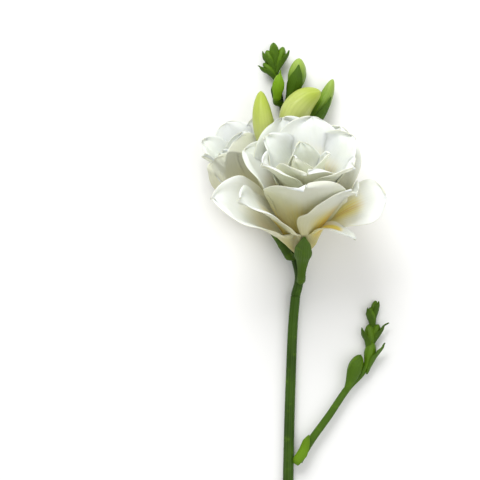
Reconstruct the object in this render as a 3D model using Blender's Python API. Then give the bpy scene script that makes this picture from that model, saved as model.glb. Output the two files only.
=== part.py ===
"""A cut freesia stem with white double blooms, lying on a flat surface.

The stem lies along +Y with its cut end at -Y, and the side that shows best faces up, +Z.
Lengths are in millimetres and angles in degrees; MM turns lengths into metres where a mesh is made.
Places are measured from the first flower's node, and ORIGIN_SHIFT then moves the whole stem so that
the origin is under the middle of its box, on the surface it lies on.
"""

import math
from dataclasses import dataclass, replace

import bmesh
import bpy
from mathutils import Matrix, Vector

MM = 0.001
ORIGIN_SHIFT = Vector((1.099, 49.169, 0.0))

# Stem, its rachis and the side shoot
STEM_SIDES = 8
FLAT = math.cos(math.pi / STEM_SIDES)
STEM_RADIUS = 2.6
FORK_RADIUS = 2.2
RACHIS_TIP_RADIUS = 0.9
STEM_TAPER_START = 0.33
SHOOT_RADIUS_FOOT = 1.9
SHOOT_RADIUS_TOP = 1.3

# Fineness of the faceted solids
PETAL_ROWS = 6
INNER_PETAL_ROWS = 5
PETAL_COLUMNS = 4
BRACT_ROWS = 4
BRACT_COLUMNS = 3
BUD_ROWS = 9
BUD_SIDES = 12
FLORET_ROWS = 4
FLORET_SIDES = 5
STEM_SPAN_ROWS = 2
RACHIS_SPAN_ROWS = 2
TUBE_ROWS = 6
TUBE_SIDES = 12

PETAL_THICKNESS = 0.7
BRACT_THICKNESS = 0.7
BRACT_SINK = 2.0
BRACT_ROOT_DEPTH = 0.4
FLORET_BRACT_GAP = -0.3
ROOT_SINK = 0.8
SEAT_GAP = 0.3
SEAT_LENGTH = 2.0
SEAT_RIM = 0.45
BUD_TIP_RADIUS = 0.8
TEPAL_STEP = 0.16
TEPAL_WIND = 2.4
CLAWS_START = 9.0
CLAWS_DEPTH = 0.7
BRACT_FACINGS = (-90.0, 90.0)
HELD_SHARE = 0.88
HELD_MARGIN = 25.0
HELD_FADE = 40.0
FREE_REACH = 20.0


@dataclass
class Blade:
    """A petal or a bract. Azimuth runs round the flower's axis and spread is the angle from that axis."""

    azimuth: float
    length: float
    width: float
    spread: float
    lean: float = 8.0
    curl: float = 0.0
    cup: float = 30.0
    claw: float = 0.2
    widest: float = 0.62
    point: float = 2.3
    ruffle: float = 0.0
    waves: float = 2.0
    phase: float = 0.0
    twist: float = 0.0
    root: float = 0.0
    stand: float = 0.6
    root_radius: float = 0.0
    aside: float = 0.0


@dataclass
class Press:
    """A flat that petals give way to: a point on it, the way off it, and the side that they stay on."""

    point: tuple
    normal: tuple
    side: float = 1.0
    gap: float = 0.0
    soft: float = 3.0


@dataclass
class Bract:
    """A green blade that clasps a flower's foot. Azimuth 180 faces up from the surface."""

    azimuth: float
    length: float
    half_angle: float = 72.0
    flare: float = 0.0
    gap: float = 0.8


@dataclass
class Flower:
    """Where a flower's tube stands and how it opens. Elevation is its tilt up from the surface."""

    foot: tuple
    heading: float
    elevation: float
    tube_length: float
    tube_foot_radius: float
    throat_radius: float
    bracts: list
    presses: list
    petals: list


@dataclass
class Bud:
    """A closed bud: the line its middle follows, its belly radius and the bracts at its foot."""

    name: str
    line: list
    radius: float
    bracts: list
    foot_radius: float = 1.5
    ripe: bool = False


def smoothstep(x):
    x = min(1.0, max(0.0, x))
    return x * x * (3.0 - 2.0 * x)


def smooth_line(points, per_span):
    """Points on a Catmull-Rom curve through the given ones."""
    knots = [Vector(p) for p in points]
    knots = [knots[0] * 2 - knots[1], *knots, knots[-1] * 2 - knots[-2]]
    line = []
    for a, b, c, d in zip(knots, knots[1:], knots[2:], knots[3:]):
        for i in range(per_span):
            t = i / per_span
            line.append(
                0.5
                * (
                    2 * b
                    + (c - a) * t
                    + (2 * a - 5 * b + 4 * c - d) * t * t
                    + (3 * b - a - 3 * c + d) * t * t * t
                )
            )
    line.append(knots[-2])
    return line


def ring_frames(line):
    """A side and an under direction at each point of a line, the under one as near to -Z as it can be."""
    frames = []
    for i, point in enumerate(line):
        ahead = line[min(i + 1, len(line) - 1)]
        behind = line[max(i - 1, 0)]
        along = (ahead - behind).normalized()
        side = along.cross(Vector((0, 0, 1))).normalized()
        frames.append((point, side, side.cross(along).normalized() * -1.0))
    return frames


def mesh_from(rings):
    """A closed skin over rings of equal count, capped with fans round each end's middle."""
    mesh = bmesh.new()
    rows = [[mesh.verts.new(p * MM) for p in ring] for ring in rings]
    count = len(rows[0])
    for low, high in zip(rows, rows[1:]):
        for i in range(count):
            j = (i + 1) % count
            mesh.faces.new((low[i], low[j], high[j], high[i]))
    for row, ring, step in ((rows[0], rings[0], -1), (rows[-1], rings[-1], 1)):
        middle = mesh.verts.new(sum(ring, Vector()) / count * MM)
        for i in range(count):
            j = (i + 1) % count
            mesh.faces.new((row[i], row[j], middle) if step > 0 else (row[j], row[i], middle))
    bmesh.ops.recalc_face_normals(mesh, faces=mesh.faces)
    return mesh


def tube(line, radii, sides):
    """A solid round stalk along a line, with a flat facet underneath."""
    rings = []
    for (point, side, under), radius in zip(ring_frames(line), radii):
        ring = []
        for k in range(sides):
            angle = (k + 0.5) * 2 * math.pi / sides
            ring.append(point + (under * math.cos(angle) + side * math.sin(angle)) * radius)
        rings.append(ring)
    return mesh_from(rings)


def blade_line(blade, rows):
    """The blade's middle line from root to tip, as (distance out, height, angle from the axis)."""
    out, height = blade.root_radius, blade.root
    step = blade.length / rows
    line = []
    for i in range(rows + 1):
        s = i / rows
        angle = math.radians(
            blade.lean + (blade.spread - blade.lean) * smoothstep(s / 0.75) + blade.curl * s**3
        )
        line.append((out, height, angle))
        out += math.sin(angle) * step
        height += math.cos(angle) * step
    return line


def blade_half_width(blade, s):
    """Half the blade's width at s, from a narrow claw to its widest and then round or pointed to the tip."""
    rise = blade.claw + (1 - blade.claw) * smoothstep(s / blade.widest)
    fall = 1.0
    if s > blade.widest:
        t = (s - blade.widest) / (1 - blade.widest)
        fall = max(0.0, 1 - t**blade.point) ** 0.6
    return 0.5 * blade.width * rise * max(fall, 0.12)


def blade_grid(blade, rows, columns):
    """The blade's middle surface as a grid of points in the flower's own frame, its axis along +Z."""
    turn = Matrix.Rotation(math.radians(blade.azimuth), 3, "Z")
    grid = []
    for i, (out, height, angle) in enumerate(blade_line(blade, rows)):
        s = i / rows
        middle = Vector((out, blade.aside, height))
        inward = Vector((-math.cos(angle), 0, math.sin(angle)))
        across = Vector((0, 1, 0))
        roll = math.radians(blade.twist) * s
        across, inward = (
            across * math.cos(roll) + inward * math.sin(roll),
            inward * math.cos(roll) - across * math.sin(roll),
        )
        half = blade_half_width(blade, s)
        wrap = min(1.2, half / max(blade.root_radius, 0.5)) * (1 - smoothstep(s / 0.45))
        bend = wrap + math.radians(blade.cup) * smoothstep(s / 0.45) + 1e-3
        row = []
        for j in range(columns + 1):
            v = 2 * j / columns - 1
            wave = blade.ruffle * s**1.6 * abs(v) ** 1.5
            wave *= math.sin(2 * math.pi * blade.waves * s + blade.phase + (1.9 if v > 0 else 0.0))
            rim = 0.6 * blade.ruffle * smoothstep((s - 0.7) / 0.3) * math.cos(4.2 * v + blade.phase)
            lift = half * (1 - math.cos(v * bend)) / bend + wave + rim
            row.append(turn @ (middle + across * (half * math.sin(v * bend) / bend) + inward * lift))
        grid.append(row)
    return grid


def grid_normals(grid):
    """Unit normals of a grid of points."""
    rows, columns = len(grid), len(grid[0])
    normals = []
    for i in range(rows):
        line = []
        for j in range(columns):
            along = grid[min(i + 1, rows - 1)][j] - grid[max(i - 1, 0)][j]
            across = grid[i][min(j + 1, columns - 1)] - grid[i][max(j - 1, 0)]
            line.append(along.cross(across).normalized())
        normals.append(line)
    return normals


def pressed(point, presses):
    """A point eased off each flat that its petal presses on."""
    for press in presses:
        normal = Vector(press.normal).normalized() * press.side
        height = (point - Vector(press.point)).dot(normal) - press.gap
        if height < press.soft:
            point = point + normal * (press.soft * math.exp(height / press.soft - 1) - height)
    return point


def thick_sheet(grid, thickness):
    """A closed sheet of even thickness over a grid of points, split alike on both faces."""
    rows, columns = len(grid) - 1, len(grid[0]) - 1
    normals = grid_normals(grid)
    mesh = bmesh.new()
    top, bottom = (
        [
            [mesh.verts.new((p + n * side * thickness / 2) * MM) for p, n in zip(row, line)]
            for row, line in zip(grid, normals)
        ]
        for side in (1, -1)
    )
    for i in range(rows):
        for j in range(columns):
            corners = ((i, j), (i + 1, j), (i + 1, j + 1), (i, j + 1))
            halves = ((0, 1, 2), (0, 2, 3)) if (i + j) % 2 else ((0, 1, 3), (1, 2, 3))
            for half in halves:
                places = [corners[k] for k in half]
                mesh.faces.new([top[a][b] for a, b in places])
                mesh.faces.new([bottom[a][b] for a, b in reversed(places)])
    edge = [(i, 0) for i in range(rows)]
    edge += [(rows, j) for j in range(columns)]
    edge += [(i, columns) for i in range(rows, 0, -1)]
    edge += [(0, j) for j in range(columns, 0, -1)]
    for (a, b), (c, d) in zip(edge, edge[1:] + edge[:1]):
        mesh.faces.new((top[a][b], top[c][d], bottom[c][d]))
        mesh.faces.new((top[a][b], bottom[c][d], bottom[a][b]))
    bmesh.ops.recalc_face_normals(mesh, faces=mesh.faces)
    return mesh


def flower_frame(foot, heading, elevation):
    """A frame at foot whose +Z is the flower's axis, with +X to the right and +Y to its back."""
    turn, tilt = math.radians(heading), math.radians(elevation)
    axis = Vector((math.sin(turn) * math.cos(tilt), math.cos(turn) * math.cos(tilt), math.sin(tilt)))
    right = Vector((math.cos(turn), -math.sin(turn), 0))
    back = axis.cross(right)
    frame = Matrix((right, back, axis)).transposed().to_4x4()
    frame.translation = Vector(foot)
    return frame


def tube_radius(flower, height):
    """The radius of a flower's tube at a height above its foot."""
    widen = max(0.0, (height / flower.tube_length - 0.12) / 0.88) ** 1.25
    return flower.tube_foot_radius + (flower.throat_radius - flower.tube_foot_radius) * widen


def envelope_radius(flower, height):
    """The radius of the tube with the claws of its outer petals."""
    claws = smoothstep((height - CLAWS_START) / 4.0)
    return tube_radius(flower, height) + claws * (CLAWS_DEPTH + 0.1 * (height - CLAWS_START))


def flower_tube(flower, frame):
    """The slender tube that widens into the throat, dished at its mouth."""
    heights = [flower.tube_length * i / TUBE_ROWS for i in range(TUBE_ROWS + 1)]
    rings = [(tube_radius(flower, height), height) for height in heights]
    rings.append((flower.throat_radius * 0.5, flower.tube_length * 0.9))
    skin = [
        [
            frame @ Vector((r * math.cos(a), r * math.sin(a), h))
            for a in (2 * math.pi * k / TUBE_SIDES for k in range(TUBE_SIDES))
        ]
        for r, h in rings
    ]
    return mesh_from(skin)


def bud_radius(bud, s):
    """The bud's mean radius at s, from its slender foot through its belly to the closing tip."""
    belly = smoothstep(s / 0.62) ** 1.2
    close = 1.0 if s < 0.6 else max(0.0, 1 - ((s - 0.6) / 0.4) ** 2) ** 0.6
    return max((bud.foot_radius + (bud.radius - bud.foot_radius) * belly) * close, BUD_TIP_RADIUS)


def bud_body(bud, line, sides):
    """A closed bud with three overlapping tepals that wind to its tip."""
    rings = []
    last = len(line) - 1
    for i, (point, side, under) in enumerate(ring_frames(line)):
        s = i / last
        size = bud_radius(bud, s)
        ring = []
        for k in range(sides):
            angle = 2 * math.pi * k / sides
            share = ((3 * angle + TEPAL_WIND * s) / (2 * math.pi)) % 1.0
            ridge = 1 + TEPAL_STEP * smoothstep(s / 0.5) * (share**2 - 0.35)
            ring.append(point + (under * math.cos(angle) + side * math.sin(angle)) * size * ridge)
        rings.append(ring)
    return mesh_from(rings)


def line_length(line):
    return sum((b - a).length for a, b in zip(line, line[1:]))


def place_on(line, distance):
    """The point, side and under direction at a distance along a line, which may run past either end."""
    frames = ring_frames(line)
    walked = 0.0
    for i, (a, b) in enumerate(zip(line, line[1:])):
        step = (b - a).length
        if distance <= walked + step or i == len(line) - 2:
            t = (distance - walked) / step
            near = min(1.0, max(0.0, t))
            side = frames[i][1].lerp(frames[i + 1][1], near)
            under = frames[i][2].lerp(frames[i + 1][2], near)
            return a + (b - a) * t, side.normalized(), under.normalized()
        walked += step
    return None


def bract_outline(s):
    """The share of a bract's full width at s, from its clasping foot to its point."""
    point = max(0.04, 1 - min(1.0, max(0.0, (s - 0.3) / 0.7)) ** 1.15)
    return (0.75 + 0.25 * smoothstep(s / 0.4)) * point


def clasping_bract(line, radius_at, bract):
    """A pointed bract that clasps the body round a line, clear of it by the bract's gap."""
    distances = [-BRACT_SINK] + [bract.length * i / BRACT_ROWS for i in range(BRACT_ROWS + 1)]
    grid = []
    for distance in distances:
        s = max(0.0, distance / bract.length)
        point, side, under = place_on(line, distance)
        shape = bract_outline(s)
        out = radius_at(max(0.0, distance)) + bract.gap + BRACT_THICKNESS / 2
        out += bract.flare * max(0.0, s - 0.45) ** 1.5
        if distance < 0:
            out = radius_at(0.0) - BRACT_ROOT_DEPTH
        row = []
        for j in range(BRACT_COLUMNS + 1):
            v = 2 * j / BRACT_COLUMNS - 1
            angle = math.radians(bract.azimuth + bract.half_angle * shape * v)
            row.append(point + (under * math.cos(angle) + side * math.sin(angle)) * out)
        grid.append(row)
    return thick_sheet(grid, BRACT_THICKNESS)


def solid(name, mesh, material):
    """A named object from a bmesh."""
    data = bpy.data.meshes.new(name)
    mesh.to_mesh(data)
    mesh.free()
    item = bpy.data.objects.new(name, data)
    item.data.materials.append(material)
    bpy.context.scene.collection.objects.link(item)
    return item


def shell_volume(faces):
    """Six times the volume that a closed shell's triangles enclose, below zero for a cavity."""
    volume = 0.0
    for face in faces:
        first = face.verts[0].co
        for a, b in zip(face.verts[1:], face.verts[2:]):
            volume += first.dot(a.co.cross(b.co))
    return volume


def keep_outer_shell(item):
    """Fill the hollows that a union sealed, and drop loose scraps, by keeping the largest shell."""
    mesh = bmesh.new()
    mesh.from_mesh(item.data)
    left = set(mesh.faces)
    shells = []
    while left:
        seed = left.pop()
        shell, front = [seed], [seed]
        while front:
            face = front.pop()
            for edge in face.edges:
                for other in edge.link_faces:
                    if other in left:
                        left.remove(other)
                        shell.append(other)
                        front.append(other)
        shells.append(shell)
    outer = max(shells, key=shell_volume)
    for shell in shells:
        if shell is not outer:
            bmesh.ops.delete(mesh, geom=shell, context="FACES")
    mesh.to_mesh(item.data)
    mesh.free()


def fused(name, meshes, material):
    """One object from overlapping closed pieces, joined by a Boolean union."""
    base = solid(name, meshes[0], material)
    others = bpy.data.collections.new(name + "_pieces")
    bpy.context.scene.collection.children.link(others)
    for i, mesh in enumerate(meshes[1:]):
        piece = solid(f"{name}_piece_{i}", mesh, material)
        bpy.context.scene.collection.objects.unlink(piece)
        others.objects.link(piece)
    union = base.modifiers.new("union", "BOOLEAN")
    union.operation = "UNION"
    union.operand_type = "COLLECTION"
    union.collection = others
    union.solver = "MANIFOLD"
    bpy.context.view_layer.objects.active = base
    bpy.ops.object.modifier_apply(modifier=union.name)
    for piece in list(others.objects):
        bpy.data.objects.remove(piece)
    bpy.data.collections.remove(others)
    keep_outer_shell(base)
    return base


def plant_material(name, colour, roughness):
    """A plain finish of one colour."""
    material = bpy.data.materials.new(name)
    material.use_nodes = True
    shader = material.node_tree.nodes["Principled BSDF"]
    shader.inputs["Base Color"].default_value = (*colour, 1.0)
    shader.inputs["Roughness"].default_value = roughness
    shader.inputs["Metallic"].default_value = 0.0
    return material


def tepal(azimuth, length, width, spread, curl, cup, ruffle, phase, root, stand, **more):
    """An outer petal that springs from outside the tube, stand clear of it."""
    shape = {"lean": 14.0, **more}
    return Blade(
        azimuth, length, width, spread,
        curl=curl, cup=cup, ruffle=ruffle, phase=phase, root=root, stand=stand, **shape,
    )


def inner_petal(azimuth, length, width, spread, curl, cup, ruffle, phase, root, root_radius):
    """A petal of the double middle, rooted inside the throat at a radius of its own."""
    return Blade(
        azimuth, length, width, spread,
        curl=curl, cup=cup, ruffle=ruffle, phase=phase, root=root, root_radius=root_radius,
    )


# The flats on which petals press on what lies beside them: a point on each and the way off it
TABLE = Press((0.0, 0.0, 0.36), (0.0, 0.0, 1.0), soft=1.6)
BLOOMS_MEET = (-21.0, 44.0, 23.0)
BLOOMS_NORMAL = (0.62, -0.1, 0.78)
BUD_3_SIDE = (-22.0, 58.0, 9.4)
BUD_3_NORMAL = (0.42, 0.1, 0.9)

BLOOM_1 = Flower(
    foot=(1.0, -6.5, 9.0),
    heading=2.0,
    elevation=31.0,
    tube_length=34.0,
    tube_foot_radius=1.6,
    throat_radius=8.5,
    bracts=[Bract(180, 27.0, 68.0), Bract(0, 14.0, 60.0)],
    presses=[Press(BLOOMS_MEET, BLOOMS_NORMAL, side=1.0, gap=0.7)],
    petals=[
        tepal(350, 38, 25, 60, 0, 16, 1.0, 0.4, 24, 0.6, lean=36, claw=0.4, twist=40, point=3.0),
        tepal(60, 55, 36, 33, 4, 26, 1.8, 1.2, 16, 1.6),
        tepal(112, 58, 40, 32, 4, 24, 1.8, 2.6, 16, 0.6),
        tepal(158, 53, 34, 25, 34, 34, 1.5, 3.9, 15, 1.6),
        tepal(201, 57, 37, 52, 4, 50, 1.6, 5.0, 10, 0.6, lean=34, claw=0.3, twist=-25),
        tepal(216, 54, 29, 44, 10, 34, 1.6, 2.8, 10, 1.6, lean=20, claw=0.25, twist=-15),
        tepal(267, 54, 40, 28, 6, 36, 2.4, 0.2, 13, 0.6, widest=0.7, point=3.0),
        tepal(316, 50, 34, 32, 10, 34, 1.8, 2.0, 13, 1.6),
        inner_petal(86, 49, 36, 30, 4, 40, 1.7, 1.0, 26, 4.8),
        inner_petal(146, 45, 32, 32, 8, 44, 1.6, 2.2, 26, 3.4),
        inner_petal(208, 42, 31, 30, 12, 46, 1.6, 3.6, 27, 4.8),
        inner_petal(268, 41, 33, 22, 18, 44, 2.0, 4.4, 28, 3.4),
        inner_petal(330, 43, 32, 30, 10, 46, 1.7, 5.4, 27, 4.8),
        inner_petal(30, 47, 34, 33, 6, 42, 1.6, 0.6, 26, 3.4),
        inner_petal(110, 38, 23, 13, -6, 60, 1.3, 1.6, 28, 1.6),
        inner_petal(230, 37, 23, 12, -8, 60, 1.3, 3.0, 28, 1.6),
        inner_petal(350, 38, 23, 13, -6, 60, 1.3, 4.8, 28, 1.6),
        Blade(
            azimuth=328, length=27, width=8, spread=92, curl=6, cup=50,
            claw=0.7, widest=0.4, root=25, lean=30, aside=-5,
        ),
    ],
)

BLOOM_2 = Flower(
    foot=(-5.8, 4.6, 7.6),
    heading=-26.0,
    elevation=9.0,
    tube_length=28.0,
    tube_foot_radius=1.6,
    throat_radius=6.6,
    bracts=[Bract(180, 20.0, 78.0), Bract(0, 11.0, 78.0)],
    presses=[
        Press(BLOOMS_MEET, BLOOMS_NORMAL, side=-1.0, gap=0.7),
        Press(BUD_3_SIDE, BUD_3_NORMAL, side=-1.0, gap=0.7),
    ],
    petals=[
        tepal(30, 50, 29, 20, 4, 34, 1.5, 0.4, 14, 0.6, lean=10),
        tepal(87, 53, 31, 16, 4, 32, 1.6, 1.6, 13, 1.6, lean=10),
        tepal(146, 51, 26, 10, 4, 32, 1.6, 2.9, 13, 0.6, lean=10),
        tepal(209, 47, 28, 11, 2, 34, 1.6, 4.2, 12, 1.6, lean=10),
        tepal(251, 41, 38, 18, 6, 44, 1.7, 5.1, 15, 0.6, lean=10),
        tepal(318, 45, 30, 20, 8, 36, 1.6, 0.1, 14, 1.6, lean=10),
        inner_petal(62, 36, 26, 16, 2, 48, 1.5, 0.9, 23, 3.9),
        inner_petal(132, 34, 24, 13, 2, 48, 1.5, 2.0, 21, 2.8),
        inner_petal(198, 31, 23, 10, 2, 48, 1.5, 2.7, 22.5, 3.9),
        inner_petal(279, 30, 24, 12, 4, 48, 1.5, 4.1, 22, 2.8),
    ],
)

# Stalk lines: across, along, and the height of the underside above the surface
STEM_LINE = [
    (-6.5, -200.0, 0.0),
    (-6.0, -160.0, 0.0),
    (-5.2, -118.0, 0.0),
    (-4.4, -76.0, 0.0),
    (-3.6, -50.0, 0.1),
    (-2.8, -30.0, 0.6),
    (-1.6, -16.0, 1.5),
]
RACHIS_LINE = [
    (-1.6, -16.0, 1.5),
    (0.2, -7.0, 2.0),
    (-2.4, 5.0, 1.9),
    (-3.2, 20.0, 1.6),
    (-5.2, 36.0, 1.3),
    (-6.0, 50.0, 1.1),
    (-7.0, 64.0, 1.1),
    (-8.4, 76.0, 1.4),
    (-10.2, 86.0, 1.8),
    (-11.2, 93.0, 2.0),
]
SHOOT_LINE = [
    (-0.1, -92.3, 1.8),
    (5.6, -82.8, 2.2),
    (14.0, -71.2, 2.2),
    (22.6, -58.6, 1.8),
    (29.4, -51.4, 1.4),
    (33.0, -43.0, 1.0),
    (34.2, -32.0, 0.6),
    (34.8, -24.0, 0.4),
]

BUDS = [
    Bud(
        "bud_3",
        [(-6.8, 36, 8), (-10.2, 44, 10.6), (-14.8, 55, 14.2), (-17, 66, 14.6), (-17.8, 78.4, 13)],
        radius=5.0,
        bracts=[Bract(100, 14.0), Bract(280, 12.0)],
        ripe=True,
    ),
    Bud(
        "bud_4",
        [(-5.2, 47.0, 7.0), (-5.0, 56.0, 10.0), (-3.6, 66.0, 12.8), (1.6, 73.6, 13.4), (9.8, 78.2, 12.8)],
        radius=6.6,
        bracts=[Bract(260, 12.0), Bract(80, 12.0)],
        ripe=True,
    ),
    Bud(
        "bud_5",
        [(-2.2, 56.0, 4.2), (2.8, 61.0, 4.6), (8.2, 68.0, 4.8), (12.4, 76.0, 4.9), (15.8, 84.5, 5.0)],
        radius=3.4,
        bracts=[Bract(150, 26.0, 62.0), Bract(320, 14.0)],
    ),
    Bud(
        "bud_6",
        [(-4.8, 73.6, 3.8), (-2.8, 79.6, 4.8), (-0.9, 86.6, 5.8), (0.2, 94.0, 6.2)],
        radius=4.2,
        bracts=[Bract(180, 18.0, 66.0, 2.0), Bract(0, 8.0, 60.0)],
    ),
    Bud(
        "bud_7",
        [(-10.2, 76.0, 6.0), (-10.0, 80.0, 7.4), (-9.0, 86.4, 8.0)],
        radius=2.4,
        bracts=[Bract(175, 13.0, 66.0, 2.0), Bract(340, 7.0)],
    ),
]

NODE_LEAF = Bract(210, 13.0, 80.0, 6.0)


def floret(line, radius, foot_radius, bract_azimuth, bract_length, bract_flare):
    """A small green bud with a pointed bract laid on it, fused to the spike that it ends."""
    bract = Bract(bract_azimuth, bract_length, 66.0, bract_flare, gap=FLORET_BRACT_GAP)
    return Bud("floret", line, radius, [bract], foot_radius)


SHOOT_FLORETS = [
    floret([(22.4, -58.6, 3.6), (24.8, -52.0, 4.0), (28.6, -43.0, 3.8)], 3.5, 1.6, 180, 17, 3),
    floret([(31.0, -50.0, 2.9), (32.6, -44.0, 3.3), (34.0, -37.0, 3.2)], 2.9, 1.4, 112, 14, 14),
    floret([(32.6, -42.0, 2.5), (33.0, -35.5, 2.9), (32.4, -29.0, 2.8)], 2.6, 1.2, 235, 12, 6),
    floret([(33.8, -38.0, 2.2), (35.4, -33.0, 2.5), (37.0, -29.0, 2.4)], 2.2, 1.0, 118, 12, 10),
    floret([(34.2, -31.0, 2.0), (34.0, -26.0, 2.3), (33.2, -21.0, 2.1)], 2.0, 1.0, 215, 10, 4),
    floret([(34.6, -27.0, 1.8), (35.0, -22.0, 1.9), (35.8, -18.0, 1.8)], 1.7, 0.9, 150, 9, 4),
]
TIP_FLORETS = [
    floret([(-10.0, 84.4, 2.8), (-13.2, 88.8, 3.0), (-16.6, 92.0, 2.8)], 2.0, 1.0, 240, 11, 6),
    floret([(-10.8, 88.0, 2.9), (-12.8, 93.0, 3.2), (-15.0, 98.0, 3.0)], 2.2, 1.0, 225, 11, 5),
    floret([(-11.0, 90.0, 2.9), (-11.4, 96.0, 3.2), (-11.8, 101.6, 2.8)], 2.3, 1.0, 180, 11, 4),
    floret([(-10.8, 88.0, 2.9), (-8.8, 93.6, 3.2), (-7.2, 99.6, 3.0)], 2.2, 1.0, 125, 11, 5),
]


def held(point, flower):
    """A point of a petal, in the flower's own frame, eased in under the bracts at the flower's foot."""
    radius = math.hypot(point.x, point.y)
    turn = math.degrees(math.atan2(point.y, point.x))
    for bract, facing in zip(flower.bracts, BRACT_FACINGS):
        aside = abs((turn - facing + 180.0) % 360.0 - 180.0)
        share = point.z / bract.length
        covered = HELD_MARGIN + bract.half_angle * bract_outline(share)
        free = FREE_REACH * (smoothstep((aside - covered) / HELD_FADE) + smoothstep((share - 1) / 0.25))
        limit = HELD_SHARE * envelope_radius(flower, max(0.0, point.z)) + free
        if radius > limit - 1:
            eased = limit - math.exp(limit - 1 - radius)
            point = Vector((point.x * eased / radius, point.y * eased / radius, point.z))
            radius = eased
    return point


def bloom(name, flower, material):
    """A double bloom: the tube with its tepals and inner petals fused into it."""
    frame = flower_frame(flower.foot, flower.heading, flower.elevation)
    meshes = [flower_tube(flower, frame)]
    for petal in flower.petals:
        radius = petal.root_radius or tube_radius(flower, petal.root) + petal.stand
        rows = INNER_PETAL_ROWS if petal.root_radius else PETAL_ROWS
        grid = blade_grid(replace(petal, root_radius=radius), rows, PETAL_COLUMNS)
        if not petal.root_radius:
            sunk = 1 - (petal.stand + ROOT_SINK) / radius
            grid[0] = [Vector((p.x * sunk, p.y * sunk, p.z)) for p in grid[0]]
        presses = [TABLE, *flower.presses]
        placed = [[pressed(frame @ held(point, flower), presses) for point in row] for row in grid]
        meshes.append(thick_sheet(placed, PETAL_THICKNESS))
    return fused(name, meshes, material)


def bud_line(bud, rows):
    return smooth_line(bud.line, max(2, rows // (len(bud.line) - 1)))


def bud_bracts(bud, line):
    """The bracts round a bud's foot, clear of the bud."""
    length = line_length(line)
    ridge = 1 + TEPAL_STEP * 0.65
    return [
        clasping_bract(line, lambda d: bud_radius(bud, min(1.0, d / length)) * ridge, bract)
        for bract in bud.bracts
    ]


def seat(rachis, foot, toward, radius):
    """The short green neck that carries a flower's foot on the rachis, a little behind it."""
    along = toward.normalized()
    top = foot - along * SEAT_GAP
    low = top - along * SEAT_LENGTH
    spots = [p.lerp(q, t / 4) for p, q in zip(rachis, rachis[1:]) for t in range(5)]
    start = min(spots, key=lambda p: (p - (low - along * SEAT_LENGTH)).length)
    line = [start, low, top - along * 0.3 * SEAT_LENGTH, top]
    return tube(line, [radius * 0.7, radius * 0.85, radius, radius], STEM_SIDES)


def stalk_line(points, per_span, foot_radius, top_radius, taper_start=0.0):
    """A stalk's middle line and its radii, from where its underside runs."""
    line = smooth_line(points, per_span)
    last = len(line) - 1
    radii = []
    for i, point in enumerate(line):
        share = max(0.0, (i / last - taper_start) / (1 - taper_start))
        radii.append(foot_radius + (top_radius - foot_radius) * share)
        point.z += radii[-1] * FLAT
    return line, radii


def main():
    for item in list(bpy.data.objects):
        bpy.data.objects.remove(item)
    white = plant_material("petal_white", (0.86, 0.87, 0.80), 0.5)
    cream = plant_material("bud_cream", (0.74, 0.78, 0.42), 0.45)
    young = plant_material("bud_green", (0.18, 0.34, 0.06), 0.45)
    green = plant_material("stem_green", (0.16, 0.32, 0.06), 0.5)
    bloom("bloom_1", BLOOM_1, white)
    bloom("bloom_2", BLOOM_2, white)
    stem = stalk_line(STEM_LINE, STEM_SPAN_ROWS, STEM_RADIUS, FORK_RADIUS, taper_start=STEM_TAPER_START)
    rachis, rachis_radii = stalk_line(RACHIS_LINE, RACHIS_SPAN_ROWS, FORK_RADIUS, RACHIS_TIP_RADIUS)
    shoot_line, shoot_radii = stalk_line(SHOOT_LINE, RACHIS_SPAN_ROWS, SHOOT_RADIUS_FOOT, SHOOT_RADIUS_TOP)
    pieces = [tube(*stem, STEM_SIDES), tube(rachis, rachis_radii, STEM_SIDES)]
    for flower in (BLOOM_1, BLOOM_2):
        frame = flower_frame(flower.foot, flower.heading, flower.elevation)
        axis = frame.to_3x3() @ Vector((0, 0, 1))
        foot = Vector(flower.foot)
        line = [foot + axis * flower.tube_length * i / TUBE_ROWS for i in range(TUBE_ROWS + 1)]
        pieces.append(seat(rachis, foot, axis, flower.tube_foot_radius + SEAT_RIM))
        for bract in flower.bracts:
            pieces.append(clasping_bract(line, lambda d: envelope_radius(flower, d), bract))
    for bud in BUDS:
        line = bud_line(bud, BUD_ROWS)
        pieces.append(seat(rachis, line[0], line[1] - line[0], bud.foot_radius + SEAT_RIM))
        pieces += bud_bracts(bud, line)
        solid(bud.name, bud_body(bud, line, BUD_SIDES), cream if bud.ripe else young)
    for bud in TIP_FLORETS:
        line = bud_line(bud, FLORET_ROWS)
        pieces.append(bud_body(bud, line, FLORET_SIDES))
        pieces += bud_bracts(bud, line)
    pieces.append(clasping_bract(shoot_line, lambda d: SHOOT_RADIUS_FOOT, NODE_LEAF))
    fused("stem", pieces, green)
    shoot = [tube(shoot_line, shoot_radii, STEM_SIDES)]
    for bud in SHOOT_FLORETS:
        line = bud_line(bud, FLORET_ROWS)
        shoot.append(bud_body(bud, line, FLORET_SIDES))
        shoot += bud_bracts(bud, line)
    fused("side_shoot", shoot, green)
    for item in bpy.data.objects:
        item.data.transform(Matrix.Translation(ORIGIN_SHIFT * MM))


if __name__ == "__main__":
    main()
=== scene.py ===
"""The look of a cut freesia stem with white double blooms, lying on a pale floor.

The stem lies along +Y with its cut end at -Y. Lengths in the tables are millimetres, measured from the
first flower's node, and ORIGIN_SHIFT moves them to the model's own origin. Angles are degrees.
"""

import logging
import math
from dataclasses import dataclass, field, replace
from enum import Enum
from typing import Callable

import bpy
from mathutils import Matrix, Vector


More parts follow.
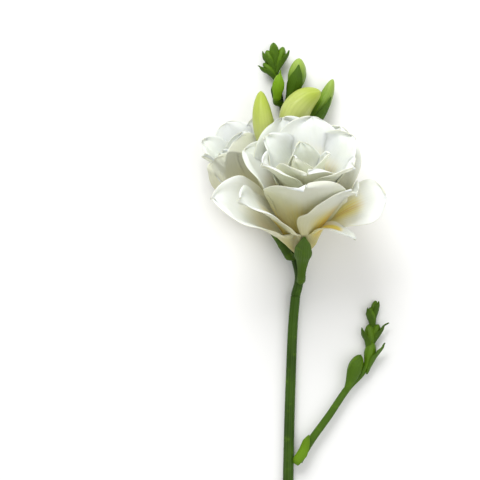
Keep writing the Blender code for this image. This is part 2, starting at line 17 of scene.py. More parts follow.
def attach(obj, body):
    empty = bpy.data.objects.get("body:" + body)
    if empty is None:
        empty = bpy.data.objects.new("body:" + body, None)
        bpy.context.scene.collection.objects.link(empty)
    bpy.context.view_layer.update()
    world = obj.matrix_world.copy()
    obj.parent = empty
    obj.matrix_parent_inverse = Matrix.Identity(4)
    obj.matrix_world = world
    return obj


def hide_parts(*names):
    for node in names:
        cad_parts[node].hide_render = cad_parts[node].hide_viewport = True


log = logging.getLogger("freesia")

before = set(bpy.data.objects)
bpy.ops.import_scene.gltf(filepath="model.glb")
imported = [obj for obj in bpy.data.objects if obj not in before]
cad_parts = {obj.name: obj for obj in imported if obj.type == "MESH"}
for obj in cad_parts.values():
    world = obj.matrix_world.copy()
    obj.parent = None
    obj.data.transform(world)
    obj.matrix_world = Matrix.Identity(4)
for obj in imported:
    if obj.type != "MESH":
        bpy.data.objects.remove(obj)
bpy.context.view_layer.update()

MM = 0.001
ORIGIN_SHIFT = Vector((1.099, 49.169, 0.0))
PETAL_THICKNESS = 0.4
BRACT_THICKNESS = 0.5
STEM_RADIUS = 2.6
FORK_RADIUS = 2.2
RACHIS_TIP_RADIUS = 0.9
STEM_TAPER_START = 0.33
SHOOT_RADIUS_FOOT = 1.9
SHOOT_RADIUS_TOP = 1.3

# The green necks under flowers and buds
SEAT_GAP = 0.3
SEAT_LENGTH = 2.0
SEAT_RIM = 0.45
SEAT_SPOTS = 80

# How petals leave the tube and are held by the bracts at its foot
ROOT_SINK = 0.8
ROOT_RISE = 0.06
CLAWS_START = 9.0
CLAWS_RISE = 4.0
CLAWS_DEPTH = 0.7
CLAWS_SLOPE = 0.1
BRACT_FACINGS = (-90.0, 90.0)
HELD_SHARE = 0.88
HELD_MARGIN = 25.0
HELD_FADE = 40.0
FREE_REACH = 20.0

# The relief of the bracts
BRACT_ROOT_DEPTH = 0.4
KEEL_HEIGHT = 0.22
KEEL_WIDTH = 0.14
BRACT_CRUMPLE = 0.12

# Fineness of the smooth pieces
SPINE_STEPS = 60
LINE_STEPS = 8
TUBE_MARKS = 12
STALK_ROW_LENGTH = 1.6
SEAM_DISTANCE = 2e-6

Place = Callable[[float, float], Vector]
Line = list[Vector]
Knots = list[tuple[float, float, float]]
Faces = tuple[bpy.types.Material, ...]


class Slot(Enum):
    """The record's material slots."""

    PETAL = "petal_white"
    BUD_CREAM = "bud_cream"
    BUD_GREEN = "bud_green"
    STEM = "stem_green"


class Tag(Enum):
    """The values that a sheet hands to its finish, one for the whole sheet."""

    YOLK = "yolk"
    LIME = "lime"


def tint(red: int, green: int, blue: int) -> tuple[float, float, float, float]:
    """A linear colour from the familiar 0 to 255 values."""
    linear = []
    for value in (red, green, blue):
        share = value / 255
        linear.append(share / 12.92 if share <= 0.04045 else ((share + 0.055) / 1.055) ** 2.4)
    return (*linear, 1.0)


def smoothstep(x: float) -> float:
    """An even rise from 0 to 1."""
    x = min(1.0, max(0.0, x))
    return x * x * (3.0 - 2.0 * x)


def smooth_line(knots: Knots, per_span: int) -> Line:
    """Points on a smooth curve through the given ones.

    Args:
        knots: The points that the curve goes through, in millimetres.
        per_span: How many points are made between two knots.

    Returns:
        The curve's points.
    """
    ends = [Vector(p) for p in knots]
    ends = [ends[0] * 2 - ends[1], *ends, ends[-1] * 2 - ends[-2]]
    line = []
    for a, b, c, d in zip(ends, ends[1:], ends[2:], ends[3:]):
        for i in range(per_span):
            t = i / per_span
            cubic = (3 * b - a - 3 * c + d) * t**3
            line.append(0.5 * (2 * b + (c - a) * t + (2 * a - 5 * b + 4 * c - d) * t**2 + cubic))
    line.append(ends[-2])
    return line


@dataclass
class Path:
    """A line in space that knows its length and its side and under directions."""

    points: Line

    def __post_init__(self) -> None:
        """Work out the distances along the line and the directions across it."""
        self.marks = [0.0]
        for a, b in zip(self.points, self.points[1:]):
            self.marks.append(self.marks[-1] + (b - a).length)
        self.sides = []
        self.unders = []
        last = len(self.points) - 1
        for i in range(last + 1):
            along = (self.points[min(i + 1, last)] - self.points[max(i - 1, 0)]).normalized()
            side = along.cross(Vector((0, 0, 1))).normalized()
            self.sides.append(side)
            self.unders.append(along.cross(side).normalized())

    @property
    def length(self) -> float:
        """The line's whole length."""
        return self.marks[-1]

    def at(self, distance: float) -> tuple[Vector, Vector, Vector]:
        """The place at a distance along the line, which may run past either end.

        Args:
            distance: Millimetres from the line's start.

        Returns:
            The point, the side direction and the under direction there.
        """
        i = 0
        while i < len(self.points) - 2 and distance > self.marks[i + 1]:
            i += 1
        t = (distance - self.marks[i]) / (self.marks[i + 1] - self.marks[i])
        near = min(1.0, max(0.0, t))
        side = self.sides[i].lerp(self.sides[i + 1], near).normalized()
        under = self.unders[i].lerp(self.unders[i + 1], near).normalized()
        return self.points[i] + (self.points[i + 1] - self.points[i]) * t, side, under


@dataclass
class Press:
    """A flat that petals give way to: a point on it, the way off it, and the side that they stay on."""

    point: tuple[float, float, float]
    normal: tuple[float, float, float]
    side: float = 1.0
    gap: float = 0.0
    soft: float = 3.0

    def ease(self, point: Vector) -> Vector:
        """A point eased off the flat."""
        normal = Vector(self.normal).normalized() * self.side
        height = (point - Vector(self.point)).dot(normal) - self.gap
        if height < self.soft:
            point = point + normal * (self.soft * math.exp(height / self.soft - 1) - height)
        return point


class Graph:
    """A material's node tree, with short ways to add and join its nodes."""

    def __init__(self, name: str) -> None:
        """Start a material of a name with its plain shader."""
        self.material = bpy.data.materials.new(name)
        self.material.use_nodes = True
        self.tree = self.material.node_tree
        self.shader = self.tree.nodes["Principled BSDF"]

    def node(self, kind: str, **settings: object) -> bpy.types.Node:
        """Add a node and set its properties."""
        node = self.tree.nodes.new(kind)
        for key, value in settings.items():
            setattr(node, key, value)
        return node

    def feed(self, node: bpy.types.Node, place: int | str, value: object) -> None:
        """Link a socket, or set a value, into a node's input."""
        if isinstance(value, bpy.types.NodeSocket):
            self.tree.links.new(value, node.inputs[place])
        else:
            node.inputs[place].default_value = value

    def math(self, operation: str, *values: object, clamp: bool = False) -> bpy.types.NodeSocket:
        """One arithmetic step on sockets or numbers."""
        node = self.node("ShaderNodeMath", operation=operation, use_clamp=clamp)
        for i, value in enumerate(values):
            self.feed(node, i, value)
        return node.outputs[0]

    def ramp(self, value: bpy.types.NodeSocket, low: float, high: float) -> bpy.types.NodeSocket:
        """A smooth rise from 0 at low to 1 at high; low above high makes a fall."""
        node = self.node("ShaderNodeMapRange", interpolation_type="SMOOTHSTEP")
        turned = low > high
        self.feed(node, "Value", value)
        self.feed(node, "From Min", min(low, high))
        self.feed(node, "From Max", max(low, high))
        self.feed(node, "To Min", 1.0 if turned else 0.0)
        self.feed(node, "To Max", 0.0 if turned else 1.0)
        return node.outputs["Result"]

    def blend(self, share: object, first: object, second: object) -> bpy.types.NodeSocket:
        """A colour between two, by a share."""
        node = self.node("ShaderNodeMix", data_type="RGBA")
        self.feed(node, "Factor", share)
        self.feed(node, 6, first)
        self.feed(node, 7, second)
        return node.outputs[2]

    def noise(self, scale: float, detail: float = 3.0) -> bpy.types.NodeSocket:
        """Cloudy noise fixed to the object."""
        place = self.node("ShaderNodeTexCoord").outputs["Object"]
        node = self.node("ShaderNodeTexNoise")
        self.feed(node, "Vector", place)
        self.feed(node, "Scale", scale)
        self.feed(node, "Detail", detail)
        return node.outputs["Fac"]

    def across_and_along(self) -> tuple[bpy.types.NodeSocket, bpy.types.NodeSocket]:
        """The piece's own coordinates: across it from 0 to 1 and along it from root to tip."""
        uv = self.node("ShaderNodeUVMap", uv_map="UVMap")
        parts = self.node("ShaderNodeSeparateXYZ")
        self.tree.links.new(uv.outputs["UV"], parts.inputs["Vector"])
        return parts.outputs["X"], parts.outputs["Y"]

    def tag(self, tag: Tag) -> bpy.types.NodeSocket:
        """A value that each sheet carries."""
        return self.node("ShaderNodeAttribute", attribute_name=tag.value).outputs["Fac"]

    def stripes(self, across: bpy.types.NodeSocket, count: float, wobble: float) -> bpy.types.NodeSocket:
        """Fine lengthwise lines, from 0 between them to 1 on them."""
        drift = self.math("MULTIPLY", self.noise(55.0, 2.0), wobble)
        angle = self.math("ADD", self.math("MULTIPLY", across, count * 2 * math.pi), drift)
        wave = self.math("MULTIPLY_ADD", self.math("SINE", angle), 0.5, 0.5)
        return self.math("POWER", wave, 2.0)

    def relief(self, height: bpy.types.NodeSocket, depth: float, strength: float) -> None:
        """Bump the surface by a height pattern.

        Args:
            height: The pattern, 0 to 1.
            depth: Its depth in millimetres.
            strength: How strongly it shows.
        """
        bump = self.node("ShaderNodeBump")
        self.feed(bump, "Height", height)
        self.feed(bump, "Distance", depth * MM)
        self.feed(bump, "Strength", strength)
        self.tree.links.new(bump.outputs["Normal"], self.shader.inputs["Normal"])

    def surface(self, colour: object, roughness: object, subsurface: float, scale: float) -> None:
        """Set the shader's colour, roughness and the light that passes through the tissue."""
        self.feed(self.shader, "Base Color", colour)
        self.feed(self.shader, "Roughness", roughness)
        self.feed(self.shader, "Subsurface Weight", subsurface)
        self.feed(self.shader, "Subsurface Scale", scale * MM)
        self.feed(self.shader, "Subsurface Radius", (1.0, 0.95, 0.75))
        self.feed(self.shader, "Specular IOR Level", 0.35)


@dataclass(frozen=True)
class PetalFinish:
    """White freesia petal: cool white limb, cream claw, yellow blotch and fine lengthwise veins."""

    name: str
    limb: tuple = tint(230, 234, 229)
    shade: tuple = tint(214, 221, 208)
    cream: tuple = tint(226, 224, 194)
    claw: tuple = tint(208, 204, 140)
    yolk: tuple = tint(238, 214, 84)
    amber: tuple = tint(224, 182, 58)
    cream_reach: float = 0.62
    veins: float = 17.0

    def build(self) -> bpy.types.Material:
        """Make the material."""
        graph = Graph(self.name)
        across, along = graph.across_and_along()
        middle = graph.math("ABSOLUTE", graph.math("SUBTRACT", across, 0.5))
        cloud = graph.noise(38.0)
        grain = graph.noise(160.0, 5.0)
        colour = graph.blend(graph.ramp(cloud, 0.38, 0.72), self.limb, self.shade)
        colour = graph.blend(graph.math("MULTIPLY", graph.ramp(grain, 0.45, 0.8), 0.25), colour, self.shade)
        rise = graph.math("ADD", along, graph.math("MULTIPLY", graph.math("SUBTRACT", cloud, 0.5), 0.3))
        low = graph.math("MULTIPLY", graph.ramp(rise, self.cream_reach, 0.2), 0.9)
        colour = graph.blend(low, colour, self.cream)
        foot = graph.math("MULTIPLY", graph.ramp(rise, 0.36, 0.04), 0.9)
        colour = graph.blend(foot, colour, self.claw)
        veins = graph.stripes(across, self.veins, 3.0)
        faint = graph.math("MULTIPLY", veins, graph.ramp(along, 0.95, 0.25))
        colour = graph.blend(graph.math("MULTIPLY", faint, 0.14), colour, self.shade)
        patch = graph.math("MULTIPLY", graph.ramp(rise, 0.1, 0.26), graph.ramp(rise, 0.62, 0.34))
        patch = graph.math("MULTIPLY", patch, graph.ramp(middle, 0.34, 0.04))
        patch = graph.math("MULTIPLY", patch, graph.tag(Tag.YOLK), clamp=True)
        feather = graph.math("MULTIPLY_ADD", veins, 0.35, 0.75)
        yellow = graph.blend(graph.ramp(middle, 0.12, 0.0), self.yolk, self.amber)
        colour = graph.blend(graph.math("MULTIPLY", patch, feather, clamp=True), colour, yellow)
        graph.surface(colour, graph.math("MULTIPLY_ADD", grain, 0.2, 0.42), 0.45, 2.6)
        graph.feed(graph.shader, "Sheen Weight", 0.12)
        graph.relief(graph.math("ADD", faint, graph.math("MULTIPLY", grain, 0.4)), 0.12, 0.5)
        return graph.material


@dataclass(frozen=True)
class BudFinish:
    """Closed bud: green foot, yellow-green belly and paler tip, with green lengthwise veins."""

    name: str
    foot: tuple
    belly: tuple
    tip: tuple
    vein: tuple
    veins: float = 21.0

    def build(self) -> bpy.types.Material:
        """Make the material."""
        graph = Graph(self.name)
        across, along = graph.across_and_along()
        cloud = graph.noise(70.0)
        rise = graph.math("ADD", along, graph.math("MULTIPLY", graph.math("SUBTRACT", cloud, 0.5), 0.35))
        colour = graph.blend(graph.ramp(rise, 0.12, 0.5), self.foot, self.belly)
        colour = graph.blend(graph.ramp(rise, 0.5, 0.95), colour, self.tip)
        veins = graph.stripes(across, self.veins, 2.5)
        colour = graph.blend(graph.math("MULTIPLY", veins, 0.14), colour, self.vein)
        graph.surface(colour, graph.math("MULTIPLY_ADD", cloud, 0.15, 0.34), 0.2, 1.8)
        graph.relief(veins, 0.06, 0.3)
        return graph.material


@dataclass(frozen=True)
class GreenFinish:
    """Stem and bract skin: dark to lime green by the sheet's tag, finely ribbed along its length."""

    name: str
    deep: tuple = tint(36, 60, 6)
    leaf: tuple = tint(64, 98, 14)
    lime: tuple = tint(124, 166, 22)
    ribs: float = 13.0

    def build(self) -> bpy.types.Material:
        """Make the material."""
        graph = Graph(self.name)
        across, along = graph.across_and_along()
        cloud = graph.noise(45.0)
        speck = graph.noise(260.0, 4.0)
        ribs = graph.stripes(across, self.ribs, 2.0)
        base = graph.blend(graph.ramp(cloud, 0.3, 0.75), self.deep, self.leaf)
        base = graph.blend(graph.math("MULTIPLY", ribs, 0.45), base, self.leaf)
        colour = graph.blend(graph.tag(Tag.LIME), base, self.lime)
        edge = graph.ramp(along, 0.86, 1.0)
        colour = graph.blend(graph.math("MULTIPLY", edge, 0.35), colour, self.leaf)
        colour = graph.blend(graph.math("MULTIPLY", graph.ramp(speck, 0.55, 0.8), 0.22), colour, self.lime)
        graph.surface(colour, graph.math("MULTIPLY_ADD", speck, 0.18, 0.42), 0.08, 0.8)
        graph.feed(graph.shader, "Specular IOR Level", 0.2)
        graph.relief(graph.math("ADD", ribs, graph.math("MULTIPLY", speck, 0.5)), 0.14, 0.6)
        return graph.material


class Workbench:
    """Makes sheets and closed skins from the grid primitive, and joins them to pieces."""

    @staticmethod
    def grid(rows: int, columns: int, place: Place) -> bpy.types.Object:
        """A grid primitive whose points are put where a formula says.

        Args:
            rows: Faces along the piece.
            columns: Faces across it.
            place: Gives a point in millimetres from across (-1 to 1) and along (0 to 1).

        Returns:
            The new object, at the origin.
        """
        bpy.ops.object.select_all(action="DESELECT")
        bpy.ops.mesh.primitive_grid_add(x_subdivisions=columns, y_subdivisions=rows, size=2.0)
        item = bpy.context.object
        for vertex in item.data.vertices:
            point = place(vertex.co.x, (vertex.co.y + 1) / 2)
            vertex.co = (point + ORIGIN_SHIFT) * MM
        return item

    @staticmethod
    def finish(item: bpy.types.Object, thickness: float, levels: int) -> bpy.types.Object:
        """Thicken a sheet, its far face in the second material, and round it off by subdivision."""
        if thickness:
            wall = item.modifiers.new("wall", "SOLIDIFY")
            wall.thickness = thickness * MM
            wall.offset = 0.0
            wall.material_offset = 1
            bpy.ops.object.modifier_apply(modifier=wall.name)
        if levels:
            round_off = item.modifiers.new("round_off", "SUBSURF")
            round_off.levels = levels
            round_off.render_levels = levels
            bpy.ops.object.modifier_apply(modifier=round_off.name)
        bpy.ops.object.shade_smooth()
        return item

    @staticmethod
    def close(item: bpy.types.Object) -> None:
        """Merge a rolled sheet's seam and poles, and turn its faces outwards."""
        bpy.ops.object.mode_set(mode="EDIT")
        bpy.ops.mesh.select_all(action="SELECT")
        bpy.ops.mesh.remove_doubles(threshold=SEAM_DISTANCE)
        bpy.ops.mesh.normals_make_consistent(inside=False)
        bpy.ops.object.mode_set(mode="OBJECT")

    @staticmethod
    def mark(item: bpy.types.Object, tag: Tag, value: float) -> None:
        """Give every point of a sheet one value for its finish."""
        data = item.data.attributes.new(tag.value, "FLOAT", "POINT").data
        data.foreach_set("value", [value] * len(item.data.vertices))

    @classmethod
    def sheet(
        cls, rows: int, columns: int, place: Place, thickness: float, faces: Faces = ()
    ) -> bpy.types.Object:
        """A thin blade, in one material for each of its faces where they are given."""
        item = cls.grid(rows, columns, place)
        for material in faces:
            item.data.materials.append(material)
        return cls.finish(item, thickness, 1)

    @classmethod
    def skin(cls, rows: int, columns: int, place: Place, levels: int = 0) -> bpy.types.Object:
        """A closed skin, rolled from a sheet that narrows to a point at both ends."""
        item = cls.grid(rows, columns, place)
        cls.close(item)
        return cls.finish(item, 0.0, levels)

    @staticmethod
    def join(
        name: str, items: list[bpy.types.Object], finish: bpy.types.Material | None, slot: Slot, *nodes: str
    ) -> bpy.types.Object:
        """One piece from several sheets, dressed and tied to what it stands for.

        Args:
            name: The piece's name.
            items: Its sheets and skins.
            finish: Its material, or nothing where its sheets have theirs.
            slot: The record's slot for it; it is not used.
            nodes: The nodes of the model that it replaces.

        Returns:
            The finished piece.
        """
        bpy.ops.object.select_all(action="DESELECT")
        for item in items:
            item.select_set(True)
        bpy.context.view_layer.objects.active = items[0]
        if len(items) > 1:
            bpy.ops.object.join()
        piece = items[0]
        piece.name = name
        piece.data.name = name
        if finish:
            piece.data.materials.clear()
            piece.data.materials.append(finish)
        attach(piece, "root")
        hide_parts(*nodes)
        log.info("%s: %d faces", name, len(piece.data.polygons))
        return piece


@dataclass
class Blade:
    """A petal. Azimuth runs round the flower's axis and spread is the angle from that axis."""

    azimuth: float
    length: float
    width: float
    spread: float
    lean: float = 8.0
    curl: float = 0.0
    cup: float = 30.0
    claw: float = 0.2
    widest: float = 0.62
    point: float = 2.3
    ruffle: float = 0.0
    waves: float = 2.0
    phase: float = 0.0
    twist: float = 0.0
    root: float = 0.0
    stand: float = 0.6
    root_radius: float = 0.0
    aside: float = 0.0
    yolk: float = 0.4
    roll: float = 1.2
    rows: int = 28
    columns: int = 20
    spine: list = field(default_factory=list)

    def __post_init__(self) -> None:
        """Trace the blade's middle line from root to tip, as distance out, height and angle."""
        step = self.length / SPINE_STEPS
        out, height = self.root_radius, self.root
        self.spine = []
        for i in range(SPINE_STEPS + 1):
            s = i / SPINE_STEPS
            opening = self.lean + (self.spread - self.lean) * smoothstep(s / 0.75) + self.curl * s**3
            angle = math.radians(opening)
            self.spine.append((out, height, angle))
            out += math.sin(angle) * step
            height += math.cos(angle) * step

    def on_spine(self, s: float) -> tuple[float, float, float]:
        """The middle line's distance out, height and angle at a share of its length."""
        place = min(max(s, 0.0), 1.0) * (len(self.spine) - 1)
        i = min(int(place), len(self.spine) - 2)
        share = place - i
        first, second = self.spine[i], self.spine[i + 1]
        return tuple(a + (b - a) * share for a, b in zip(first, second))

    def half_width(self, s: float) -> float:
        """Half the width at s, from a narrow claw to the widest place and round to the tip."""
        rise = self.claw + (1 - self.claw) * smoothstep(s / self.widest)
        fall = 1.0
        if s > self.widest:
            t = (s - self.widest) / (1 - self.widest)
            fall = max(0.0, 1 - t**self.point) ** 0.6
        return 0.5 * self.width * rise * max(fall, 0.02)

    def nicked(self, v: float, s: float) -> float:
        """The share of the length with the tip's small nicks, shallow ones and finer ones on them."""
        nicks = 0.010 * math.sin(9 * v + self.phase) + 0.005 * math.sin(23 * v + 3 * self.phase)
        return s * (1 + nicks * smoothstep((s - 0.7) / 0.3))

    def wave(self, v: float, s: float) -> float:
        """The ruffle of the two long edges, a slow wave with a quick one on it, uneven from side to side."""
        late = 1.9 if v > 0 else 0.0
        edge = s**1.6 * abs(v) ** 1.5
        slow = self.ruffle * edge * math.sin(2 * math.pi * self.waves * s + self.phase + late)
        quick = 0.3 * self.ruffle * edge * s * math.sin(2 * math.pi * 4.6 * s + 2 * self.phase + 2 * late)
        return slow + quick

    def rim(self, v: float, s: float) -> float:
        """The ruffle of the tip's rim, a slow wave with a quick one on it."""
        slow = 0.6 * self.ruffle * smoothstep((s - 0.7) / 0.3) * math.cos(4.2 * v + self.phase)
        quick = 0.22 * self.ruffle * smoothstep((s - 0.8) / 0.2) * math.cos(11 * v + 2.7 * self.phase)
        return slow + quick

    def folds(self, v: float, s: float) -> float:
        """The crease of the middle vein, with the slight crumple of thin tissue."""
        crease = -0.35 * math.exp(-((v / 0.16) ** 2)) * smoothstep(s / 0.3) * smoothstep((1 - s) / 0.3)
        crumple = 0.16 * math.sin(5 * v + 7 * s + self.phase) * smoothstep(s / 0.4)
        return crease + crumple

    def rolled(self, v: float, s: float) -> float:
        """How far the rim rolls back, out along the long edges and at the tip."""
        nearness = max(abs(v) * smoothstep((s - 0.2) / 0.5), s**2)
        return self.roll * smoothstep((nearness - 0.72) / 0.28) ** 2

    def place(self, v: float, share: float) -> Vector:
        """A point of the blade's middle surface in the flower's own frame, its axis along +Z.

        Args:
            v: The place across, from -1 to 1.
            share: The place along, from 0 at the root to 1 at the tip.

        Returns:
            The point in millimetres.
        """
        s = 1 - (1 - share) ** 1.5
        out, height, angle = self.on_spine(self.nicked(v, s))
        inward = Vector((-math.cos(angle), 0, math.sin(angle)))
        across = Vector((0, 1, 0))
        turn = math.radians(self.twist) * s
        across, inward = (
            across * math.cos(turn) + inward * math.sin(turn),
            inward * math.cos(turn) - across * math.sin(turn),
        )
        half = self.half_width(s)
        wrap = min(1.2, half / max(self.root_radius, 0.5)) * (1 - smoothstep(s / 0.45))
        bend = wrap + math.radians(self.cup) * smoothstep(s / 0.45) + 1e-3
        lift = half * (1 - math.cos(v * bend)) / bend
        lift += self.wave(v, s) + self.rim(v, s) + self.folds(v, s) - self.rolled(v, s)
        middle = Vector((out, self.aside, height))
        point = middle + across * (half * math.sin(v * bend) / bend) + inward * lift
        return Matrix.Rotation(math.radians(self.azimuth), 3, "Z") @ point


@dataclass
class Bract:
    """A green blade that clasps a flower's foot. Azimuth 180 faces up from the surface."""

    azimuth: float
    length: float
    half_angle: float = 72.0
    flare: float = 0.0
    gap: float = 0.5
    lime: float = 0.1
    teeth: float = 0.06
    rows: int = 18
    columns: int = 10
    sink: float = 2.0

    def outline(self, s: float) -> float:
        """The share of the full width at s, from the clasping foot to the point."""
        return (0.75 + 0.25 * smoothstep(s / 0.4)) * max(0.03, 1 - min(1, max(0, (s - 0.3) / 0.7)) ** 1.15)

    def build(self, path: Path, radius_at: Callable[[float], float]) -> bpy.types.Object:
        """The bract as a thin blade round the body that it clasps.

        Args:
            path: The middle line of the body.
            radius_at: The body's radius at a distance along that line.

        Returns:
            The blade.
        """

        def place(v: float, share: float) -> Vector:
            """A point of the blade, whose foot is sunk, whose edges are toothed and whose middle is keeled."""
            distance = -self.sink + (self.length + self.sink) * share
            s = max(0.0, distance / self.length)
            point, side, under = path.at(distance)
            shape = self.outline(s)
            shape *= 1 + self.teeth * math.sin(26 * s + 2 * (v > 0)) * smoothstep((s - 0.35) / 0.2)
            emerge = smoothstep((distance + self.sink) / self.sink)
            out = radius_at(max(0.0, distance)) + (self.gap + BRACT_THICKNESS / 2) * emerge
            out += -BRACT_ROOT_DEPTH * (1 - emerge) + self.flare * max(0.0, s - 0.45) ** 1.5
            out += KEEL_HEIGHT * math.exp(-((v / KEEL_WIDTH) ** 2)) * smoothstep(s / 0.2)
            out += BRACT_CRUMPLE * math.sin(9 * s + 2 * v) * abs(v)
            angle = math.radians(self.azimuth + self.half_angle * shape * v)
            return point + (under * math.cos(angle) + side * math.sin(angle)) * out

        blade = Workbench.sheet(self.rows, self.columns, place, BRACT_THICKNESS)
        Workbench.mark(blade, Tag.LIME, self.lime)
        return blade


@dataclass
class Flower:
    """A double bloom: a slender tube, its tepals and the inner petals of its middle."""

    name: str
    foot: tuple[float, float, float]
    heading: float
    elevation: float
    tube_length: float
    throat_radius: float
    bracts: list[Bract]
    presses: list[Press]
    petals: list[Blade]
    tube_foot_radius: float = 1.6

    @property
    def frame(self) -> Matrix:
        """The flower's own frame: +Z its axis, +X to the right and +Y to its back."""
        turn, tilt = math.radians(self.heading), math.radians(self.elevation)
        level = math.cos(tilt)
        axis = Vector((math.sin(turn) * level, math.cos(turn) * level, math.sin(tilt)))
        right = Vector((math.cos(turn), -math.sin(turn), 0))
        frame_at_foot = Matrix((right, axis.cross(right), axis)).transposed().to_4x4()
        frame_at_foot.translation = Vector(self.foot)
        return frame_at_foot

    @property
    def path(self) -> Path:
        """The tube's middle line."""
        step = self.tube_length / TUBE_MARKS
        return Path([self.frame @ Vector((0, 0, step * i)) for i in range(TUBE_MARKS + 1)])

    def tube_radius(self, height: float) -> float:
        """The tube's radius at a height above the foot."""
        widen = max(0.0, (height / self.tube_length - 0.12) / 0.88) ** 1.25
        return self.tube_foot_radius + (self.throat_radius - self.tube_foot_radius) * widen

    def envelope(self, height: float) -> float:
        """The tube's radius with the claws of its outer petals."""
        above = height - CLAWS_START
        claws = smoothstep(above / CLAWS_RISE)
        return self.tube_radius(height) + claws * (CLAWS_DEPTH + CLAWS_SLOPE * above)

    def tube(self) -> bpy.types.Object:
        """The tube's skin, closed at its foot and dished at its mouth."""
        rim = 0.82
        foot = 0.02

        def place(v: float, s: float) -> Vector:
            """A point of the skin: up the outside to the rim, then down into the dish."""
            angle = math.pi * v
            if s <= rim:
                height = self.tube_length * max(0.0, s - foot) / (rim - foot)
                radius = self.tube_radius(height) * (0.0 if s == 0 else 1.0)
            else:
                inner = (s - rim) / (1 - rim)
                height = self.tube_length * (1 - 0.25 * inner)
                radius = self.throat_radius * (1 - inner) * 0.95
            ribs = 1 + 0.02 * math.cos(6 * angle)
            size = radius * ribs
            return self.frame @ Vector((size * math.cos(angle), size * math.sin(angle), height))

        tube = Workbench.skin(50, 48, place)
        Workbench.mark(tube, Tag.YOLK, 0.0)
        coordinates = tube.data.uv_layers["UVMap"].data
        for loop in coordinates:
            loop.uv.y *= 0.35
        return tube

    def held(self, point: Vector) -> Vector:
        """A point of a petal eased in under the bracts that clasp the flower's foot."""
        radius = math.hypot(point.x, point.y)
        turn = math.degrees(math.atan2(point.y, point.x))
        for bract, facing in zip(self.bracts, BRACT_FACINGS):
            aside = abs((turn - facing + 180.0) % 360.0 - 180.0)
            share = point.z / bract.length
            covered = HELD_MARGIN + bract.half_angle * bract.outline(share)
            free = smoothstep((aside - covered) / HELD_FADE) + smoothstep((share - 1) / 0.25)
            limit = HELD_SHARE * self.envelope(max(0.0, point.z)) + FREE_REACH * free
            if radius > limit - 1:
                eased = limit - math.exp(limit - 1 - radius)
                point = Vector((point.x * eased / radius, point.y * eased / radius, point.z))
                radius = eased
        return point

    def petal(self, blade: Blade, faces: Faces) -> bpy.types.Object:
        """One petal, rooted on or in the tube and pressed clear of what lies beside it."""
        outer = not blade.root_radius
        radius = self.tube_radius(blade.root) + blade.stand if outer else blade.root_radius
        grown = replace(blade, root_radius=radius)
        at_foot = self.frame

        def place(v: float, s: float) -> Vector:
            """A point of the petal, its root sunk in the tube, held by the bracts and pressed."""
            point = grown.place(v, s)
            if outer:
                sunk = 1 - (1 - smoothstep(s / ROOT_RISE)) * (blade.stand + ROOT_SINK) / radius
                point = Vector((point.x * sunk, point.y * sunk, point.z))
            point = at_foot @ self.held(point)
            for press in (TABLE, *self.presses):
                point = press.ease(point)
            return point

        sheet = Workbench.sheet(blade.rows, blade.columns, place, PETAL_THICKNESS, faces)
        Workbench.mark(sheet, Tag.YOLK, blade.yolk)
        return sheet

    def build(self, inside: bpy.types.Material, outside_painted_shade: bpy.types.Material) -> None:
        """Make the bloom as one piece."""
        tube = self.tube()
        # The tube and the petals' outer faces take the darker outside finish, whose darkening is painted
        # shade.
        tube.data.materials.append(outside_painted_shade)
        sheets = [tube] + [self.petal(blade, (outside_painted_shade, inside)) for blade in self.petals]
        Workbench.join(f"{self.name}_petals", sheets, None, Slot.PETAL, self.name)


@dataclass
class Bud:
    """A closed bud of three overlapping tepals on a bent line, with bracts at its foot."""

    name: str
    knots: Knots
    radius: float
    bracts: list[Bract]
    foot_radius: float = 1.5
    rows: int = 40
    columns: int = 48
    tip_radius: float = 0.35
    step: float = 0.16
    wind: float = 2.4

    @property
    def path(self) -> Path:
        """The bud's middle line."""
        return Path(smooth_line(self.knots, LINE_STEPS))

    def radius_at(self, s: float) -> float:
        """The mean radius at a share of the length, from the slender foot to the closing tip."""
        belly = smoothstep(s / 0.62) ** 1.2
        close = 1.0 if s < 0.6 else max(0.0, 1 - ((s - 0.6) / 0.4) ** 2) ** 0.6
        return max((self.foot_radius + (self.radius - self.foot_radius) * belly) * close, self.tip_radius)

    def body(self) -> bpy.types.Object:
        """The bud's skin, with the edges of its tepals standing proud."""
        path = self.path

        def place(v: float, share: float) -> Vector:
            """A point of the skin, closer together at both ends, with a step where each tepal ends."""
            s = smoothstep(share) * 0.35 + share * 0.65
            point, side, under = path.at(s * path.length)
            angle = math.pi * (v + 1)
            turn = ((3 * angle + self.wind * s) / (2 * math.pi)) % 1.0
            edge = turn**2 - 0.35 - 1.35 * smoothstep((turn - 0.94) / 0.06)
            ridge = 1 + self.step * smoothstep(s / 0.5) * edge
            size = self.radius_at(s) * ridge if 0 < share < 1 else 0.0
            return point + (under * math.cos(angle) + side * math.sin(angle)) * size

        return Workbench.skin(self.rows, self.columns, place, 1)

    def wrap(self) -> list[bpy.types.Object]:
        """The bracts round the bud's foot."""
        path = self.path
        swell = 1 + self.step * 0.65

        def clear_radius(distance: float) -> float:
            """The radius that clears the tepals' edges."""
            return self.radius_at(min(1.0, distance / path.length)) * swell

        return [bract.build(path, clear_radius) for bract in self.bracts]


